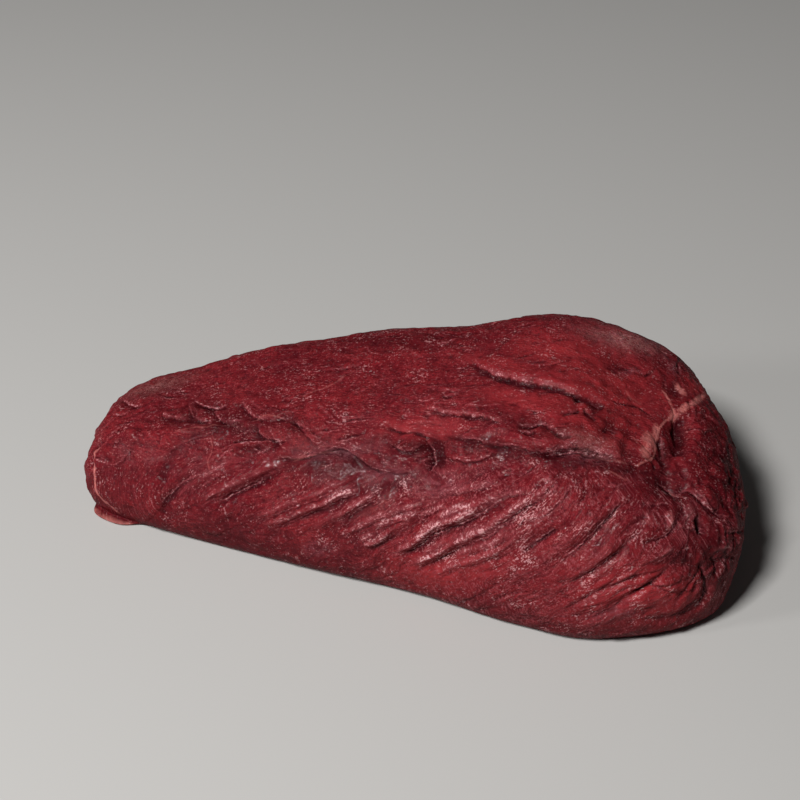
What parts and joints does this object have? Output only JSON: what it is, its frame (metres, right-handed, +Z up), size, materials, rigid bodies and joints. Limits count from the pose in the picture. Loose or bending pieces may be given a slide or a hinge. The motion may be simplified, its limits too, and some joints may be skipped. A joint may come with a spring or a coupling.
{
  "type": "raw beef shoulder cut",
  "caption": "Raw, trimmed whole-muscle shoulder cut of beef, long and wedge-shaped, lying flat on its belly.",
  "frame": {"origin": "middle of the bounding box, on the surface that the cut lies on", "axes": "+X along the cut towards its thick end, +Y towards its far side, +Z up"},
  "size_m": [0.294, 0.1456, 0.0901],
  "materials": {
    "raw_lean": "moist raw lean beef, deep red with a soft sheen, thin silvery skin and a few pale streaks of fat"
  },
  "bodies": {
    "root": {"beef_shoulder": "raw_lean"}
  },
  "joints": []
}
